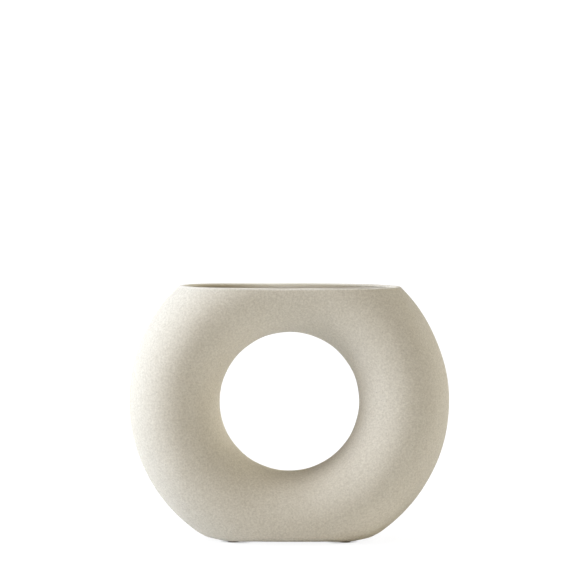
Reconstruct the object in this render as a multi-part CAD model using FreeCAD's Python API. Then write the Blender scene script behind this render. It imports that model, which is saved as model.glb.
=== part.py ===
import FreeCAD, Part
import math
import os

from FreeCAD import Vector

# A ring vase: a hollow stoneware ring that stands on edge, slip-cast in one piece.
# The ring has a round section. A level cut below makes its closed base, and a level cut
# above leaves a long oval mouth. The chamber runs all the way round the hole.
# The fired pieces are the bare stoneware body and the glaze coat that makes its chamber
# watertight. Soft pads under the foot keep the clay off the table.
# Millimetres. X is the width, +Y the depth away from the viewer and +Z up, with the
# origin on the table, under the middle of the base.

# Ring, with the depths that the two level cuts take off it
ring_diameter = 230.0
hole_diameter = 100.0
mouth_cut_depth = 31.6
base_cut_depth = 16.4

# Casting
wall_thickness = 4.0
floor_thickness = 6.0
floor_corner_radius = 5.0
base_edge_radius = 7.0

# Rim
rim_outer_radius = 1.6
rim_inner_radius = 1.2

# Shallow oval hollow in the underside, which leaves a flat foot round it
foot_width = 10.0
recess_depth = 1.5
recess_round_share = 0.45  # of the depth, for the radius at the lip and at the ceiling

# Glaze coat
glaze_thickness = 0.35
glaze_stop_below_rim = 2.0

# Pads
pad_diameter = 8.0
pad_thickness = 1.0
pad_edge_radius = 0.3
pad_place_share = 0.7  # of the way from the middle of the base to its end

# Working values
cut_overrun = 10.0
match_tolerance = 0.001

ring_outer_radius = ring_diameter / 2
section_radius = (ring_diameter - hole_diameter) / 4
centreline_radius = ring_outer_radius - section_radius
recess_radius = recess_round_share * recess_depth
underside_height = pad_thickness
base_drop = ring_outer_radius - base_cut_depth  # from the hole's centre down to the underside
ring_centre = Vector(0, 0, underside_height + base_drop)
rim_height = ring_centre.z + ring_outer_radius - mouth_cut_depth
hole_axis = Vector(0, 1, 0)
up = Vector(0, 0, 1)


def ring(inset):
    """The ring's full solid, with its skin moved inward by the inset."""
    solid = Part.makeTorus(centreline_radius, section_radius - inset, ring_centre, hole_axis)
    # The quarter turn puts the surface's seam at one side, clear of both level cuts.
    solid.rotate(ring_centre, hole_axis, 90)
    return solid


def layer(low, high):
    """A level slab between two heights, wider than the ring."""
    half_side = ring_outer_radius + cut_overrun
    return Part.makeBox(2 * half_side, 2 * half_side, high - low, Vector(-half_side, -half_side, low))


def oval_disc(half_length, half_width, low, high):
    """An upright elliptical disc between two heights."""
    outline = Part.Ellipse(Vector(0, 0, low), half_length, half_width).toShape()
    return Part.Face(Part.Wire([outline])).extrude(up * (high - low))


def depth_in_ring(point):
    """How far a point lies inside the ring's skin."""
    from_axis = math.hypot(point.x, point.z - ring_centre.z)
    return section_radius - math.hypot(from_axis - centreline_radius, point.y)


def rounded(shape, radius, height, inset=None):
    """The shape with its level edges at a height rounded, or only those at one inset from the skin."""
    edges = []
    for edge in shape.Edges:
        box = edge.BoundBox
        if max(abs(box.ZMin - height), abs(box.ZMax - height)) > match_tolerance:
            continue
        if inset is None or abs(depth_in_ring(edge.Vertexes[0].Point) - inset) < match_tolerance:
            edges.append(edge)
    return shape.makeFillet(radius, edges)


def only_solid(shape):
    """The single solid that an operation left in a compound."""
    (solid,) = shape.Solids
    return solid


def chamber(coat, top):
    """The space inside the wall and a coat on it, with rounded floor corners, up to a height."""
    floor_height = underside_height + floor_thickness + coat
    open_ring = ring(wall_thickness + coat).common(layer(floor_height, rim_height + cut_overrun))
    space = rounded(only_solid(open_ring), floor_corner_radius - coat, floor_height)
    return only_solid(space.common(layer(floor_height, top)))


def flat_half_length():
    """Half the length of the underside's flat part."""
    end_slope = math.acos(base_drop / ring_outer_radius)
    return math.sqrt(ring_outer_radius**2 - base_drop**2) - base_edge_radius * math.tan(end_slope / 2)


def flat_half_width(x):
    """Half the width of the underside's flat part, at a distance from its middle."""
    from_axis = math.hypot(x, base_drop)
    outward_share = (from_axis - centreline_radius) / section_radius
    side_slope = math.acos(outward_share * base_drop / from_axis)
    sharp_half_width = section_radius * math.sqrt(1 - outward_share**2)
    return sharp_half_width - base_edge_radius * math.tan(side_slope / 2)


def with_foot_recess(body):
    """The body with the shallow hollow in its underside, its lip and its ceiling rounded."""
    half_length = flat_half_length() - foot_width
    ceiling_height = underside_height + recess_depth
    recess = oval_disc(half_length, flat_half_width(0) - foot_width, underside_height - cut_overrun, ceiling_height)
    recess = rounded(recess, recess_radius, ceiling_height)
    lip_inset = depth_in_ring(Vector(half_length, 0, underside_height))
    return rounded(only_solid(body.cut(recess)), recess_radius, underside_height, lip_inset)


def stoneware_body():
    """The fired clay: the ring, cut level above and below, and hollow all round."""
    body = only_solid(ring(0).common(layer(underside_height, rim_height)))
    body = rounded(body, base_edge_radius, underside_height)
    body = with_foot_recess(body)
    body = only_solid(body.cut(chamber(0, rim_height + cut_overrun)))
    body = rounded(body, rim_outer_radius, rim_height, 0)
    return only_solid(rounded(body, rim_inner_radius, rim_height, wall_thickness))


def glaze_lining():
    """The glaze coat on the chamber's wall and floor, which stops just inside the mouth."""
    stop_height = rim_height - glaze_stop_below_rim
    coat_space = chamber(0, stop_height).cut(chamber(glaze_thickness, stop_height + cut_overrun))
    return only_solid(coat_space)


def pad_places():
    """The name and centre of each pad, one towards each corner of the base, midway across the foot."""
    x = pad_place_share * flat_half_length()
    y = flat_half_width(x) - foot_width / 2
    for face, y_sign in (("front", -1), ("back", 1)):
        for side, x_sign in (("left", -1), ("right", 1)):
            yield f"base_pad_{face}_{side}", Vector(x_sign * x, y_sign * y, 0)


def base_pad(centre):
    """A round self-adhesive pad with a softened lower edge."""
    pad = Part.makeCylinder(pad_diameter / 2, pad_thickness, centre, up)
    return rounded(pad, pad_edge_radius, 0)


def main():
    nodes = {
        "stoneware_body": stoneware_body(),
        "glaze_lining": glaze_lining(),
    }
    for name, centre in pad_places():
        nodes[name] = base_pad(centre)
    os.makedirs("parts", exist_ok=True)
    for name, shape in nodes.items():
        shape.exportStep(f"parts/{name}.step")
        print(f"{name}: valid {shape.isValid()}, {len(shape.Solids)} solid, {shape.Volume / 1000:.2f} cm3")


main()
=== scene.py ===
import math

import bmesh
import bpy
import numpy as np
from mathutils import Matrix, Vector


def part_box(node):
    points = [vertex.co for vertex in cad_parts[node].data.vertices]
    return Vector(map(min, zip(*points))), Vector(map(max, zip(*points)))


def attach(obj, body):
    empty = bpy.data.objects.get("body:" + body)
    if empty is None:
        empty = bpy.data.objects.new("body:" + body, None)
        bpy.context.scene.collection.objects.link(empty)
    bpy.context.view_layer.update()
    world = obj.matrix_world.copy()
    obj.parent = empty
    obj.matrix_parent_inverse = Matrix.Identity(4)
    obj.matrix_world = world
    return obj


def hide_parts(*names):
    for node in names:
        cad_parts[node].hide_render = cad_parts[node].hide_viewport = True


# A ring vase of sandy stoneware that stands on edge, with a long oval mouth cut level
# across its top, a satin glaze inside and felt pads below. Metres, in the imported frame:
# X is the width, +Y the depth away from the viewer and +Z up.
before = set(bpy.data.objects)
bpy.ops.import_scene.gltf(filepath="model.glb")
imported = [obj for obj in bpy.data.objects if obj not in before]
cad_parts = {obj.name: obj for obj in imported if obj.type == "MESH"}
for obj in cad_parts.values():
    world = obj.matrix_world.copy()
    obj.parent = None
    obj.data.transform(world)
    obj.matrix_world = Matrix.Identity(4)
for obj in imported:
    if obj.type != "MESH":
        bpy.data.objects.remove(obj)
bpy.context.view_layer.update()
scene = bpy.context.scene
mm = 0.001

# Ring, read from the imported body
body_low, body_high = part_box("stoneware_body")
outer_radius = (body_high.x - body_low.x) / 2
section_radius = (body_high.y - body_low.y) / 2
centreline_radius = outer_radius - section_radius
mouth_cut_depth = 31.6 * mm
mouth_height = outer_radius - mouth_cut_depth  # above the ring's centre
ring_centre_height = body_high.z - mouth_height
base_height = body_low.z - ring_centre_height  # below the ring's centre, so negative
pad_low, pad_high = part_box("base_pad_back_right")

# Casting
wall_thickness = 4.0 * mm
floor_thickness = 6.0 * mm
floor_corner_radius = 5.0 * mm
base_edge_radius = 7.0 * mm
rim_outer_radius = 1.6 * mm
rim_inner_radius = 1.2 * mm
rim_crown = 0.15 * mm
# Painted highlight: a paler colour over the rim's top and over the bare band inside it, fading out towards
# the right.
rim_highlight_depth = 2.0 * mm
rim_highlight_share = 0.45
inner_rim_highlight_depth = 3.2 * mm
inner_rim_highlight_share = 1.0
rim_highlight_fade = (10 * mm, 60 * mm)  # places across the width, from full to none
foot_width = 10.0 * mm
recess_depth = 1.5 * mm
recess_round_share = 0.45
recess_edge_radius = recess_round_share * recess_depth

# Glaze coat
glaze_thickness = 0.35 * mm
glaze_bond_gap = 0.01 * mm
glaze_stop_below_rim = 2.0 * mm
glaze_stop_wave = 0.45 * mm
glaze_stop_ripples = ((5, 1.0, 0.4), (11, 0.6, 1.9), (17, 0.4, 4.1))  # waves round, share, start
glaze_stop_taper = 1.2 * mm
taper_rise_share = 0.45
taper_depth_share = 0.6

# Unevenness that casting, drying and sanding leave
shoulder_flat_depth = 0.65 * mm
shoulder_flat_angle = math.radians(27)
shoulder_flat_reach = math.radians(13)
shoulder_flat_spread = math.radians(55)
casting_wave = 0.05 * mm
casting_wave_count = 14
casting_wave_limit = 3
waves_around = (3, 16)
waves_across = (-6, 7)
casting_seed = 7
rim_wave = 0.12 * mm
rim_ripples = ((3, 0.6, 1.1), (5, 0.4, 4.0))  # waves round, share, start
settled_above_base = 14.0 * mm
foot_lift_at_ends = 0.8 * mm
foot_lift_between_pads = 0.5 * mm
foot_lift_run = 12.0 * mm
foot_lift_height = 5.5 * mm

# Felt pads
pad_sides = 96
# Radius and height shares of a pad's profile, from the middle below to the middle above
pad_profile_shares = [
    (0.3, 0), (0.6, 0), (0.85, 0), (0.94, 0.02), (0.975, 0.12), (0.985, 0.32),
    (0.98, 0.55), (0.975, 0.8), (0.96, 0.96), (0.9, 1), (0.6, 1), (0.3, 1),
]
fuzzy_rows = range(3, 9)
ragged_rows = range(4, 8)
fuzz_spread = 0.35
fuzz_share = 0.012
ragged_share = 0.02

# Mesh density: places round the ring and round its section, and steps over each rounding
body_columns = 360
body_rows = 120
glaze_columns = 180
glaze_rows = 60
mouth_patch = (math.radians(34), math.radians(57))
base_patch = (math.radians(23), math.radians(45))
patch_reach = (math.radians(60), math.radians(115))
rim_outer_steps = 6
rim_inner_steps = 5
rim_top_shares = (0.25, 0.5, 0.75)
base_edge_steps = 9
floor_edge_steps = 6
glaze_floor_steps = 5
recess_edge_steps = 4
foot_shares = (0.2, 0.4, 0.6, 0.8)


class Mesh:
    """The points and faces of one piece while it is built."""

    def __init__(self):
        self.points = []
        self.count = 0
        self.faces = []

    def add(self, points):
        """Adds points and returns their numbers."""
        points = np.asarray(points).reshape(-1, 3)
        numbers = np.arange(self.count, self.count + len(points))
        self.points.append(points)
        self.count += len(points)
        return numbers

    def strip(self, first, second):
        """Joins two closed rows of points with quads."""
        quads = np.stack([first, np.roll(first, -1), np.roll(second, -1), second], axis=1)
        self.faces.extend(quads.tolist())

    def rows(self, start, rows, end=None):
        """Carries a closed row on through more rows, and to a row that is there already."""
        for row in rows:
            following = self.add(row)
            self.strip(start, following)
            start = following
        if end is not None:
            self.strip(start, end)
        return start

    def cap(self, border, patch):
        """Fills a closed row with a quad grid, blended from its four sides."""
        along, across = 2 * patch[0], 2 * patch[1]
        points = np.concatenate(self.points)
        grid = np.full((along + 1, across + 1), -1)
        columns, rows = border_places(patch)
        grid[columns + patch[0], rows + patch[1]] = border
        edge = points[grid]
        u = np.linspace(0, 1, along + 1)[:, None, None]
        v = np.linspace(0, 1, across + 1)[None, :, None]
        sides = (1 - u) * edge[:1] + u * edge[-1:] + (1 - v) * edge[:, :1] + v * edge[:, -1:]
        corners = (
            (1 - u) * (1 - v) * edge[0, 0] + u * (1 - v) * edge[-1, 0]
            + (1 - u) * v * edge[0, -1] + u * v * edge[-1, -1]
        )
        inner = (sides - corners)[1:-1, 1:-1]
        grid[1:-1, 1:-1] = self.add(inner).reshape(inner.shape[:2])
        quads = np.stack([grid[:-1, :-1], grid[1:, :-1], grid[1:, 1:], grid[:-1, 1:]], axis=-1)
        self.faces.extend(quads.reshape(-1, 4).tolist())

    def make(self, name, shape=None):
        """The Blender object, its points passed through a shaping function."""
        points = np.concatenate(self.points)
        if shape is not None:
            points = shape(points)
        data = bpy.data.meshes.new(name)
        data.from_pydata(points.tolist(), [], self.faces)
        work = bmesh.new()
        work.from_mesh(data)
        loose = [v for v in work.verts if not v.link_faces]
        bmesh.ops.delete(work, geom=loose, context="VERTS")
        bmesh.ops.recalc_face_normals(work, faces=work.faces)
        work.to_mesh(data)
        work.free()
        data.polygons.foreach_set("use_smooth", [True] * len(data.polygons))
        piece = bpy.data.objects.new(name, data)
        scene.collection.objects.link(piece)
        return piece


def ring_point(around, across, section):
    """The point at an angle round the ring and one round its section."""
    reach = centreline_radius + section * np.cos(across)
    x = reach * np.cos(around)
    z = ring_centre_height + reach * np.sin(around)
    return np.stack([x, section * np.sin(across), z], axis=-1)


def ring_normal(around, across):
    """The outward direction there."""
    out = np.cos(across)
    return np.stack([out * np.cos(around), np.sin(across), out * np.sin(around)], axis=-1)


def border_places(patch):
    """Column and row of each border place of a patch, from its right front corner towards the back."""
    along, across = patch
    to_right = np.arange(-along, along)
    to_back = np.arange(-across, across)
    columns = np.concatenate([np.full(2 * across, along), -to_right, np.full(2 * across, -along), to_right])
    rows = np.concatenate([to_back, np.full(2 * along, across), -to_back, np.full(2 * along, -across)])
    return columns, rows


def border_turns(patch):
    """The turn round an oval outline, from its right end, that each border place goes to."""
    quarter = math.pi / 4
    sides = [
        np.linspace((2 * i - 1) * quarter, (2 * i + 1) * quarter, 2 * count, endpoint=False)
        for i, count in enumerate((patch[1], patch[0], patch[1], patch[0]))
    ]
    return np.concatenate(sides)


def outline(section, height, turns):
    """The ring angles where a skin meets a level at a height from the ring's centre."""
    half_length = np.sqrt((centreline_radius + section) ** 2 - height**2)
    x = half_length * np.cos(turns)
    from_centreline = np.hypot(x, height) - centreline_radius
    y = np.sign(np.sin(turns)) * np.sqrt(np.maximum(section**2 - from_centreline**2, 0))
    return np.arctan2(height, x), np.arctan2(y, from_centreline)


class RoundedEdge:
    """The rounding between a skin and a level plane, as the path of a ball that touches both."""

    def __init__(self, skin, radius, plane, side, turns, inside=1):
        """Side is 1 for the mouth's plane and -1 for one below. Inside is -1 for a ball outside the skin."""
        self.radius = radius
        self.section = skin - inside * radius
        self.around, self.across = outline(self.section, plane - side * radius, turns)
        self.centres = ring_point(self.around, self.across, self.section)
        self.to_skin = inside * ring_normal(self.around, self.across)
        self.to_plane = np.array([0, 0, side])

    def rows(self, steps):
        """Rows from the first past the skin to the one on the plane."""
        turn = np.arccos(np.clip(self.to_skin @ self.to_plane, -1, 1))[:, None]
        for share in np.linspace(0, 1, steps + 1)[1:]:
            direction = np.sin((1 - share) * turn) * self.to_skin + np.sin(share * turn) * self.to_plane
            yield self.centres + self.radius * direction / np.sin(turn)


def patch_counts(angles, columns, rows):
    """A patch's half size in whole columns and rows."""
    return round(angles[0] * columns / math.tau), round(angles[1] * rows / math.tau)


def ring_skin(mesh, section, columns, rows, openings):
    """A skin all round the ring, left open at the openings. Returns the border row of each."""
    column_angle, row_angle = math.tau / columns, math.tau / rows
    column, row = np.meshgrid(np.arange(columns), np.arange(rows), indexing="ij")
    around, across = column * column_angle, row * row_angle
    kept = np.ones((columns, rows), bool)
    places = []
    for side, patch, (edge_around, edge_across) in openings:
        along = (column - side * columns // 4 + columns // 2) % columns - columns // 2
        along = -side * along
        cross = (row + rows // 2) % rows - rows // 2
        near_along = np.clip(along, -patch[0], patch[0])
        near_cross = np.clip(cross, -patch[1], patch[1])
        border_column, border_row = border_places(patch)
        shift = np.zeros((2 * patch[0] + 1, 2 * patch[1] + 1, 2))
        place_around = side * (math.pi / 2 - border_column * column_angle)
        shift[border_column + patch[0], border_row + patch[1], 0] = edge_around - place_around
        shift[border_column + patch[0], border_row + patch[1], 1] = edge_across - border_row * row_angle
        away = np.hypot(
            (along - near_along) * column_angle / patch_reach[0],
            (cross - near_cross) * row_angle / patch_reach[1],
        )
        fade = 0.5 + 0.5 * np.cos(math.pi * np.minimum(away, 1))
        local = shift[near_along + patch[0], near_cross + patch[1]] * fade[..., None]
        around = around + local[..., 0]
        across = across + local[..., 1]
        # A cell goes if it lies between the patch's columns and rows.
        first_column = side * columns // 4 - patch[0]
        cell_column = (column - first_column) % columns < 2 * patch[0]
        cell_row = (row + patch[1]) % rows < 2 * patch[1]
        kept &= ~(cell_column & cell_row)
        places.append(((side * columns // 4 - side * border_column) % columns, border_row % rows))
    numbers = mesh.add(ring_point(around, across, section)).reshape(columns, rows)
    right, up = np.roll(numbers, -1, axis=0), np.roll(numbers, -1, axis=1)
    quads = np.stack([numbers, right, np.roll(right, -1, axis=1), up], axis=-1)[kept]
    mesh.faces.extend(quads.tolist())
    return [numbers[place] for place in places]


def between(first, last, shares):
    """Rows blended between two rows."""
    for share in shares:
        yield first + (last - first) * share


def oval_row(half_length, half_width, offset, height, turns):
    """A level row at an offset outside an ellipse."""
    x, y = np.cos(turns), np.sin(turns)
    normal = np.stack([half_width * x, half_length * y], axis=-1)
    normal /= np.linalg.norm(normal, axis=-1, keepdims=True)
    flat = np.stack([half_length * x, half_width * y], axis=-1) + offset * normal
    return np.column_stack([flat, np.full(len(flat), height)])


def stone_shell():
    """The fired clay: outer skin, rounded rim, chamber wall and floor, rounded base, foot and recess."""
    mesh = Mesh()
    mouth = patch_counts(mouth_patch, body_columns, body_rows)
    base = patch_counts(base_patch, body_columns, body_rows)
    mouth_turns, base_turns = border_turns(mouth), border_turns(base)
    chamber = section_radius - wall_thickness
    rim_out = RoundedEdge(section_radius, rim_outer_radius, mouth_height, 1, mouth_turns)
    rim_in = RoundedEdge(chamber, rim_inner_radius, mouth_height, 1, mouth_turns, inside=-1)
    base_edge = RoundedEdge(section_radius, base_edge_radius, base_height, -1, base_turns)
    floor_edge = RoundedEdge(
        chamber, floor_corner_radius, base_height + floor_thickness, -1, base_turns
    )
    outer_mouth, outer_base = ring_skin(mesh, section_radius, body_columns, body_rows, [
        (1, mouth, (rim_out.around, rim_out.across)),
        (-1, base, (base_edge.around, base_edge.across)),
    ])
    inner_mouth, inner_floor = ring_skin(mesh, chamber, body_columns, body_rows, [
        (1, mouth, (rim_in.around, rim_in.across)),
        (-1, base, (floor_edge.around, floor_edge.across)),
    ])

    # Rim: two roundings with a slightly crowned top between them.
    outer_rows = list(rim_out.rows(rim_outer_steps))
    inner_rows = list(rim_in.rows(rim_inner_steps))[::-1]
    top_rows = list(between(outer_rows[-1], inner_rows[0], rim_top_shares))
    mesh.rows(outer_mouth, outer_rows + top_rows + inner_rows, inner_mouth)

    # Chamber floor.
    floor_row = mesh.rows(inner_floor, floor_edge.rows(floor_edge_steps))
    mesh.cap(floor_row, base)

    # Base: rounding, flat foot, recess lip, recess wall and ceiling.
    base_rows = list(base_edge.rows(base_edge_steps))
    foot_row = base_rows[-1]
    half_length = foot_row[:, 0].max() - foot_width
    half_width = foot_row[:, 1].max() - foot_width
    underside = ring_centre_height + base_height
    lip_rows, ceiling_rows = [], []
    for turn in np.linspace(0, math.pi / 2, recess_edge_steps + 1):
        turned, still_to_turn = 1 - math.cos(turn), 1 - math.sin(turn)
        lip_rows.append(oval_row(
            half_length, half_width, recess_edge_radius * still_to_turn,
            underside + recess_edge_radius * turned, base_turns))
        ceiling_rows.append(oval_row(
            half_length, half_width, -recess_edge_radius * turned,
            underside + recess_depth - recess_edge_radius * still_to_turn, base_turns))
    foot_rows = list(between(foot_row, lip_rows[0], foot_shares))
    ceiling = mesh.rows(outer_base, base_rows + foot_rows + lip_rows + ceiling_rows)
    mesh.cap(ceiling, base)
    shell = mesh.make("stone_shell", settled)
    store_wall_depth(shell)
    return shell


def store_wall_depth(shell):
    """Stores each point's share of the way through the wall, 0 on the outer skin and 1 on the inner."""
    points = np.empty(len(shell.data.vertices) * 3)
    shell.data.vertices.foreach_get("co", points)
    x, y, z = points.reshape(-1, 3).T
    from_centreline = np.hypot(np.hypot(x, z - ring_centre_height) - centreline_radius, y)
    share = np.clip((section_radius - from_centreline) / wall_thickness, 0, 1)
    shell.data.attributes.new("wall_depth", "FLOAT", "POINT").data.foreach_set("value", share)


def rippled(turns, ripples):
    """Waves round the mouth, added up. Each has its number of waves, its share and its start."""
    return sum(share * np.sin(count * turns + start) for count, share, start in ripples)


def glaze_coat():
    """The glaze on the chamber's wall and floor. It thins out in a wavy line just inside the rim."""
    mesh = Mesh()
    mouth = patch_counts(mouth_patch, glaze_columns, glaze_rows)
    base = patch_counts(base_patch, glaze_columns, glaze_rows)
    turns, base_turns = border_turns(mouth), border_turns(base)
    wave = 0.5 + rippled(turns, glaze_stop_ripples) / 4  # from 0 to 1
    stop = mouth_height - glaze_stop_below_rim - glaze_stop_wave * wave
    faces = {}
    for name, depth, below in (("bond", glaze_bond_gap, 0), ("face", glaze_thickness, glaze_stop_taper)):
        section = section_radius - wall_thickness - depth
        floor_edge = RoundedEdge(
            section, floor_corner_radius - depth,
            base_height + floor_thickness + depth, -1, base_turns)
        mouth_row, floor_row = ring_skin(mesh, section, glaze_columns, glaze_rows, [
            (1, mouth, outline(section, stop - below, turns)),
            (-1, base, (floor_edge.around, floor_edge.across)),
        ])
        mesh.cap(mesh.rows(floor_row, floor_edge.rows(glaze_floor_steps)), base)
        faces[name] = mouth_row
    section = section_radius - wall_thickness - taper_depth_share * glaze_thickness
    around, across = outline(section, stop - taper_rise_share * glaze_stop_taper, turns)
    mesh.rows(faces["face"], [ring_point(around, across, section)], faces["bond"])
    return mesh.make("glaze_coat", settled)


def smooth_share(value, low, high):
    """Rises smoothly from 0 at low to 1 at high."""
    share = np.clip((value - low) / (high - low), 0, 1)
    return share * share * (3 - 2 * share)


def foot_lift(points):
    """How far sponging raised the foot's edge at the two ends and between the pads."""
    along, across = np.abs(points[:, 0]), np.abs(points[:, 1])
    ends = smooth_share(along, pad_high.x, pad_high.x + foot_lift_run)
    between_pads = smooth_share(along, pad_low.x, pad_low.x - foot_lift_run)
    outward = smooth_share(across, pad_low.y, pad_low.y + foot_lift_run)
    low_share = smooth_share(points[:, 2], body_low.z + foot_lift_height, body_low.z)
    return low_share * (foot_lift_at_ends * ends + foot_lift_between_pads * between_pads * outward)


def settled(points):
    """The points with the slight unevenness of a cast and hand-finished ring, all of it inward."""
    x, y, z = points[:, 0], points[:, 1], points[:, 2] - ring_centre_height
    around = np.arctan2(z, x)
    across = np.arctan2(y, np.hypot(x, z) - centreline_radius)
    random = np.random.default_rng(casting_seed)
    wave = np.zeros(len(points))
    for _ in range(casting_wave_count):
        turns_around = int(random.integers(*waves_around))
        turns_across = int(random.integers(*waves_across))
        start = random.uniform(0, math.tau)
        wave += np.sin(turns_around * around + turns_across * across + start)
    wave *= math.sqrt(2 / casting_wave_count)
    flat = np.exp(-((around - shoulder_flat_angle) / shoulder_flat_reach) ** 2)
    flat *= np.exp(-((across / shoulder_flat_spread) ** 2))
    wave = casting_wave_limit - np.clip(wave, -casting_wave_limit, casting_wave_limit)
    inward = casting_wave * wave + shoulder_flat_depth * flat
    free = smooth_share(points[:, 2], body_low.z, body_low.z + settled_above_base)
    moved = points - (inward * free)[:, None] * ring_normal(around, across)
    # The rim's height wanders a little, and its top is crowned.
    rim_share = smooth_share(z, mouth_height - settled_above_base, mouth_height)
    moved[:, 2] -= rim_share * rim_wave * (1 + rippled(np.arctan2(y, x), rim_ripples))
    moved[:, 2] += foot_lift(points)
    in_wall = np.abs(np.hypot(np.hypot(x, z) - centreline_radius, y) - section_radius + wall_thickness / 2)
    crown = np.clip(1 - (in_wall / (wall_thickness / 2)) ** 2, 0, 1)
    moved[:, 2] -= rim_crown * (1 - crown) * smooth_share(z, mouth_height - rim_crown, mouth_height)
    return moved


def felt_pad(node, seed):
    """A die-cut felt disc: flat where it rests and where it sticks, with a soft fibrous edge."""
    low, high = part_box(node)
    centre = (low + high) / 2
    radius = (high.x - low.x) / 2
    random = np.random.default_rng(seed)
    mesh = Mesh()
    turns = np.arange(pad_sides) * math.tau / pad_sides
    fuzz = random.normal(0, fuzz_spread, (len(pad_profile_shares), pad_sides))
    fuzz = np.clip((fuzz + np.roll(fuzz, 1, axis=1)) / 2, -1, 1)
    rows = []
    for i, (out, rise) in enumerate(pad_profile_shares):
        fuzzy = fuzz_share * fuzz[i] if i in fuzzy_rows else 0
        ragged = ragged_share * fuzz[-1 - i] if i in ragged_rows else 0
        reach = radius * (out + fuzzy)
        lift = np.clip(rise + ragged, 0, 1)
        rows.append(np.column_stack([
            centre.x + reach * np.cos(turns), centre.y + reach * np.sin(turns),
            np.full(pad_sides, low.z) + lift * (high.z - low.z)]))
    bottom = mesh.add(rows[0])
    top = mesh.rows(bottom, rows[1:])
    for row, height in ((bottom, low.z), (top, high.z)):
        (middle,) = mesh.add([[centre.x, centre.y, height]])
        mesh.faces.extend([[int(a), int(b), int(middle)] for a, b in zip(row, np.roll(row, -1))])
    return mesh.make(node.replace("base_pad", "felt_pad"))


# Range that the useful part of a noise texture fills
noise_range = (0.3, 0.7)

# Stoneware finish
mottle_size = 1.3 * mm
fine_size = 0.7 * mm
drift_size = 60 * mm
drift_share = 0.10
dark_grain_share = 0.5
pale_grain_share = 0.45
stoneware_relief = 0.10 * mm
clay_dark, clay_pale = (0.538, 0.486, 0.361), (0.698, 0.646, 0.505)
drift_colour = (0.66, 0.60, 0.46)
dark_grain, pale_grain = (0.26, 0.21, 0.15), (0.80, 0.77, 0.70)
# Painted highlight colours for the rim's top and for the bare band inside it
rim_highlight_colour, inner_rim_highlight_colour = (0.84, 0.795, 0.67), (0.88, 0.84, 0.69)

# Glaze finish
cloud_size = 9 * mm
peel_size = 3.5 * mm
speck_share = 0.6
glaze_relief = 0.05 * mm
glaze_dark, glaze_pale = (0.550, 0.495, 0.385), (0.600, 0.545, 0.430)
speck_colour = (0.30, 0.24, 0.17)

# Felt finish
matted_size = 0.5 * mm
thread_size = 1.1 * mm
thread_share = 0.4
felt_relief = 0.15 * mm
felt_dark, felt_pale = (0.19, 0.16, 0.13), (0.36, 0.31, 0.26)


def material(name):
    """A new node material, its nodes, links and Principled shader."""
    made = bpy.data.materials.new(name)
    made.use_nodes = True
    nodes, links = made.node_tree.nodes, made.node_tree.links
    return made, nodes, links, nodes["Principled BSDF"]


def noise(nodes, links, place, size, detail, roughness):
    """A noise texture whose grains have about the given size."""
    node = nodes.new("ShaderNodeTexNoise")
    node.inputs["Scale"].default_value = 1 / size
    node.inputs["Detail"].default_value = detail
    node.inputs["Roughness"].default_value = roughness
    links.new(place.outputs["Object"], node.inputs["Vector"])
    return node.outputs["Fac"]


def ramp(nodes, links, source, low, high, start=0.0, end=1.0):
    """Stretches a value from one range to another, kept within the new range."""
    node = nodes.new("ShaderNodeMapRange")
    node.inputs["From Min"].default_value = low
    node.inputs["From Max"].default_value = high
    node.inputs["To Min"].default_value = start
    node.inputs["To Max"].default_value = end
    links.new(source, node.inputs["Value"])
    return node.outputs["Result"]


def blend(nodes, links, share, first, second):
    """Mixes two colours, each a socket or a plain colour."""
    node = nodes.new("ShaderNodeMix")
    node.data_type = "RGBA"
    links.new(share, node.inputs["Factor"])
    for socket, colour in (("A", first), ("B", second)):
        target = next(s for s in node.inputs if s.name == socket and s.type == "RGBA")
        if isinstance(colour, tuple):
            target.default_value = (*colour, 1)
        else:
            links.new(colour, target)
    return next(s for s in node.outputs if s.type == "RGBA")


def summed(nodes, links, first, second, share):
    """The first value plus a share of the second."""
    node = nodes.new("ShaderNodeMath")
    node.operation = "MULTIPLY_ADD"
    links.new(second, node.inputs[0])
    node.inputs[1].default_value = share
    links.new(first, node.inputs[2])
    return node.outputs[0]


def product(nodes, links, first, second):
    """Two values multiplied."""
    node = nodes.new("ShaderNodeMath")
    node.operation = "MULTIPLY"
    links.new(first, node.inputs[0])
    links.new(second, node.inputs[1])
    return node.outputs[0]


def grains(nodes, links, place, spacing, grain_share, keep):
    """1 inside round grains scattered at a spacing, where only some places hold a grain."""
    cell = nodes.new("ShaderNodeTexVoronoi")
    cell.inputs["Scale"].default_value = 1 / spacing
    links.new(place.outputs["Object"], cell.inputs["Vector"])
    inside = ramp(nodes, links, cell.outputs["Distance"], grain_share, grain_share * 0.55)
    split = nodes.new("ShaderNodeSeparateColor")
    links.new(cell.outputs["Color"], split.inputs["Color"])
    chosen = ramp(nodes, links, split.outputs["Red"], keep, keep - 0.02)
    return product(nodes, links, inside, chosen)


def bumped(nodes, links, shader, height, distance):
    """Gives a shader relief of a real depth."""
    node = nodes.new("ShaderNodeBump")
    node.inputs["Strength"].default_value = 1
    node.inputs["Distance"].default_value = distance
    links.new(height, node.inputs["Height"])
    links.new(node.outputs["Normal"], shader.inputs["Normal"])


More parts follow.
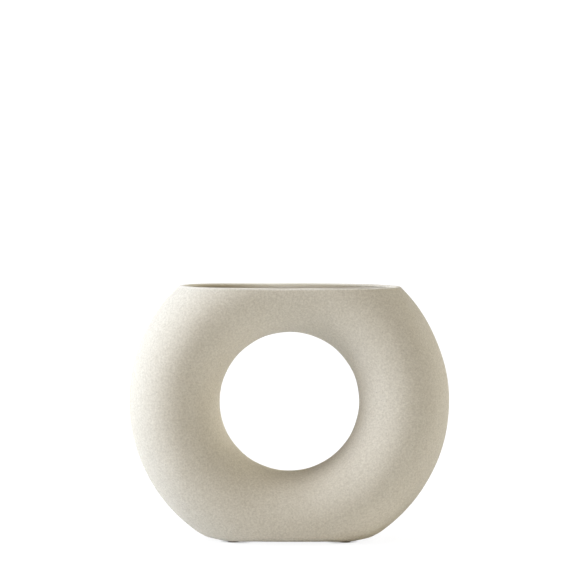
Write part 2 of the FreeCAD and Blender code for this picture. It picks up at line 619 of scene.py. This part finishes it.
def stoneware():
    """Matt, sandy clay: fine mottle, a few darker and paler grains, slow drifts of tone, and a painted
    highlight along the rim.
    """
    made, nodes, links, shader = material("stoneware")
    place = nodes.new("ShaderNodeTexCoord")
    mottle = noise(nodes, links, place, mottle_size, detail=3.0, roughness=0.6)
    drift = noise(nodes, links, place, drift_size, detail=2.0, roughness=0.5)
    mottled = ramp(nodes, links, mottle, *noise_range)
    colour = blend(nodes, links, mottled, clay_dark, clay_pale)
    drifting = ramp(nodes, links, drift, *noise_range, end=drift_share)
    colour = blend(nodes, links, drifting, colour, drift_colour)
    dark = grains(nodes, links, place, spacing=1.7 * mm, grain_share=0.20, keep=0.10)
    darkened = ramp(nodes, links, dark, 0, 1, end=dark_grain_share)
    colour = blend(nodes, links, darkened, colour, dark_grain)
    light = grains(nodes, links, place, spacing=1.3 * mm, grain_share=0.22, keep=0.12)
    lightened = ramp(nodes, links, light, 0, 1, end=pale_grain_share)
    colour = blend(nodes, links, lightened, colour, pale_grain)
    # Painted highlight: the top of the rim is painted paler, most of all on the bare band inside it above
    # the glaze, and less towards the right.
    axes = nodes.new("ShaderNodeSeparateXYZ")
    links.new(place.outputs["Object"], axes.inputs["Vector"])
    pale = ramp(nodes, links, axes.outputs["X"], *rim_highlight_fade, start=1, end=0)
    rim_highlight_band = ramp(nodes, links, axes.outputs["Z"], body_high.z - rim_highlight_depth, body_high.z - rim_crown)
    rim_highlight = product(nodes, links, ramp(nodes, links, rim_highlight_band, 0, 1, end=rim_highlight_share), pale)
    colour = blend(nodes, links, rim_highlight, colour, rim_highlight_colour)
    wall_depth = nodes.new("ShaderNodeAttribute")
    wall_depth.attribute_name = "wall_depth"
    inside = ramp(nodes, links, wall_depth.outputs["Fac"], 0.5, 0.9, end=inner_rim_highlight_share)
    inner_rim_highlight_low = body_high.z - inner_rim_highlight_depth
    inner_highlight_band = ramp(nodes, links, axes.outputs["Z"], inner_rim_highlight_low, inner_rim_highlight_low + inner_rim_highlight_depth / 2)
    inner_rim_highlight = product(nodes, links, product(nodes, links, inside, inner_highlight_band), pale)
    colour = blend(nodes, links, inner_rim_highlight, colour, inner_rim_highlight_colour)
    links.new(colour, shader.inputs["Base Color"])
    rough = ramp(nodes, links, mottle, *noise_range, start=0.95, end=0.82)
    links.new(rough, shader.inputs["Roughness"])
    shader.inputs["Specular IOR Level"].default_value = 0.25
    fine = noise(nodes, links, place, fine_size, detail=3.0, roughness=0.65)
    relief = summed(nodes, links, mottle, fine, share=0.6)
    relief = summed(nodes, links, relief, dark, share=-0.25)
    bumped(nodes, links, shader, relief, stoneware_relief)
    return made


def inside_glaze():
    """Satin glaze: a little darker than the clay, cloudy, with a few dark specks and a soft gloss."""
    made, nodes, links, shader = material("inside_glaze")
    place = nodes.new("ShaderNodeTexCoord")
    cloud = noise(nodes, links, place, cloud_size, detail=4.0, roughness=0.55)
    cloudy = ramp(nodes, links, cloud, *noise_range)
    colour = blend(nodes, links, cloudy, glaze_dark, glaze_pale)
    specks = grains(nodes, links, place, spacing=2.4 * mm, grain_share=0.16, keep=0.12)
    specked = ramp(nodes, links, specks, 0, 1, end=speck_share)
    colour = blend(nodes, links, specked, colour, speck_colour)
    links.new(colour, shader.inputs["Base Color"])
    rough = ramp(nodes, links, cloud, *noise_range, start=0.55, end=0.45)
    links.new(rough, shader.inputs["Roughness"])
    shader.inputs["Specular IOR Level"].default_value = 0.4
    shader.inputs["Coat Weight"].default_value = 0.12
    shader.inputs["Coat Roughness"].default_value = 0.25
    peel = noise(nodes, links, place, peel_size, detail=2.0, roughness=0.5)
    bumped(nodes, links, shader, peel, glaze_relief)
    return made


def felt():
    """Brown pressed wool: crossing fibres, a rough surface and a weak sheen."""
    made, nodes, links, shader = material("felt")
    place = nodes.new("ShaderNodeTexCoord")
    matted = noise(nodes, links, place, matted_size, detail=4.0, roughness=0.7)
    threads = nodes.new("ShaderNodeTexWave")
    threads.inputs["Scale"].default_value = 1 / thread_size
    threads.inputs["Distortion"].default_value = 14
    threads.inputs["Detail"].default_value = 3
    links.new(place.outputs["Object"], threads.inputs["Vector"])
    fibres = summed(nodes, links, matted, threads.outputs["Fac"], thread_share)
    fibrous = ramp(nodes, links, fibres, 0.3, 1.1)
    colour = blend(nodes, links, fibrous, felt_dark, felt_pale)
    links.new(colour, shader.inputs["Base Color"])
    shader.inputs["Roughness"].default_value = 0.95
    shader.inputs["Specular IOR Level"].default_value = 0.15
    shader.inputs["Sheen Weight"].default_value = 0.35
    shader.inputs["Sheen Roughness"].default_value = 0.5
    bumped(nodes, links, shader, fibres, felt_relief)
    return made


def finish_piece(piece, node, finish):
    """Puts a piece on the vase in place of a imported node, with its material."""
    piece.data.materials.append(finish)
    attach(piece, "root")
    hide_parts(node)


def build_vase():
    """All the pieces of the vase."""
    finish_piece(stone_shell(), "stoneware_body", stoneware())
    finish_piece(glaze_coat(), "glaze_lining", inside_glaze())
    pad_finish = felt()
    pads = sorted(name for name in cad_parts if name.startswith("base_pad"))
    for seed, node in enumerate(pads):
        pad = felt_pad(node, seed)
        finish_piece(pad, node, pad_finish)


# Camera, from the outline of the ring and the two edges of its mouth in the photograph
image_side = 577
ring_centre_pixel = (289.5, 401.35)
pixels_across_ring = 319.8
camera_distance = 2.276
camera_pitch = math.radians(5.7)
camera_yaw = math.radians(1.5)
camera_roll = math.radians(0.35)
sensor_width = 36.0
view_reach = 200.0


def place_camera():
    """A long lens, a little above the ring and a little to its left."""
    data = bpy.data.cameras.new("camera")
    camera = bpy.data.objects.new("camera", data)
    scene.collection.objects.link(camera)
    scene.camera = camera
    pixel = 2 * outer_radius / pixels_across_ring
    lens_in_pixels = camera_distance / pixel
    data.sensor_width = sensor_width
    data.lens = sensor_width * lens_in_pixels / image_side
    data.clip_end = view_reach
    target = Vector((0, 0, ring_centre_height))
    forward = Vector((
        math.sin(camera_yaw) * math.cos(camera_pitch),
        math.cos(camera_yaw) * math.cos(camera_pitch),
        -math.sin(camera_pitch),
    ))
    camera.location = target - forward * camera_distance
    across = (ring_centre_pixel[0] - image_side / 2) / lens_in_pixels
    down = (ring_centre_pixel[1] - image_side / 2) / lens_in_pixels
    # The roll turns the picture about the ring's centre, so it is set before the two aiming turns.
    aim = forward.to_track_quat("-Z", "Y").to_matrix()
    aim = aim @ Matrix.Rotation(camera_roll, 3, "Z")
    aim = aim @ Matrix.Rotation(math.atan(down), 3, "X") @ Matrix.Rotation(math.atan(across), 3, "Y")
    camera.rotation_mode = "QUATERNION"
    camera.rotation_quaternion = aim.to_quaternion()


# Studio lights: azimuth from the camera's side towards the right, elevation, strength, colour
lamps = {
    "key": (-90, 20, 1.97, (0.675, 0.770, 1.0)),
    "key_high": (-90, 35, 1.97, (0.705, 0.797, 1.0)),
    "key_front": (-75, 35, 2.17, (0.889, 0.882, 1.0)),
    "fill": (40, 10, 0.92, (1.0, 0.896, 0.735)),
    "rim": (120, 30, 1.60, (0.925, 0.945, 1.0)),
    "back": (180, 15, 0.60, (1.0, 0.92, 0.80)),
}
lamp_spread = math.radians(22)
backdrop_strength = 1.05
floor_radius = 40.0
floor_sides = 96
bounce_albedo = 0.8
bounce_depth = 0.5 * mm
seen_floor_albedo = 0.05
seen_floor_glow = 0.98
# Painted contact shadow on the seen floor: its glow dims where ambient occlusion finds the vase close, a
# thin dark line right under it and a faint shade around it.
contact_shadow_line_reach = 1.35 * mm
contact_shadow_line_low = 0.50
contact_shade_reach = 40 * mm
contact_shade_low = 0.93


def studio():
    """Soft lamps all round, a pale floor and a white backdrop."""
    for name, (azimuth, elevation, strength, colour) in lamps.items():
        data = bpy.data.lights.new(name, "SUN")
        data.energy = strength
        data.angle = lamp_spread
        data.color = colour
        lamp = bpy.data.objects.new(name, data)
        scene.collection.objects.link(lamp)
        turn, rise = math.radians(azimuth), math.radians(elevation)
        toward = Vector((math.sin(turn) * math.cos(rise), -math.cos(turn) * math.cos(rise), math.sin(rise)))
        lamp.rotation_mode = "QUATERNION"
        lamp.rotation_quaternion = toward.to_track_quat("Z", "Y")
    world = bpy.data.worlds.new("backdrop")
    scene.world = world
    world.use_nodes = True
    background = world.node_tree.nodes["Background"]
    background.inputs["Color"].default_value = (1, 1, 1, 1)
    background.inputs["Strength"].default_value = backdrop_strength
    world.cycles_visibility.diffuse = False
    world.cycles_visibility.glossy = False
    # The floor that lights the vase from below, and the brighter one that the camera sees.
    bounce = floor_disc("floor_bounce", bounce_albedo, 0.0)
    bounce.visible_camera = False
    bounce.location.z = -bounce_depth
    seen = floor_disc("floor", seen_floor_albedo, seen_floor_glow)
    for ray in ("visible_diffuse", "visible_glossy", "visible_transmission", "visible_shadow"):
        setattr(seen, ray, False)


def floor_disc(name, albedo, glow):
    """A large round floor just under the pads. Its glow fades close to what stands on it, a painted contact
    shadow.
    """
    finish, nodes, links, shader = material(name)
    shader.inputs["Base Color"].default_value = (albedo, albedo, albedo, 1)
    shader.inputs["Roughness"].default_value = 0.9
    shader.inputs["Specular IOR Level"].default_value = 0.1
    if glow:
        # Painted contact shadow: the glow is dimmed by ambient occlusion near the vase.
        near = nodes.new("ShaderNodeAmbientOcclusion")
        near.inputs["Distance"].default_value = contact_shadow_line_reach
        far = nodes.new("ShaderNodeAmbientOcclusion")
        far.inputs["Distance"].default_value = contact_shade_reach
        shade = ramp(nodes, links, far.outputs["AO"], 0, 1, contact_shade_low, 1)
        line = ramp(nodes, links, near.outputs["AO"], 0.5, 1, contact_shadow_line_low, 1)
        shader.inputs["Emission Strength"].default_value = glow
        links.new(product(nodes, links, line, shade), shader.inputs["Emission Color"])
    data = bpy.data.meshes.new(name)
    work = bmesh.new()
    bmesh.ops.create_circle(work, cap_ends=True, radius=floor_radius, segments=floor_sides)
    work.to_mesh(data)
    work.free()
    data.materials.append(finish)
    disc = bpy.data.objects.new(name, data)
    scene.collection.objects.link(disc)
    return disc


build_vase()
place_camera()
studio()
scene.view_settings.view_transform = "Standard"
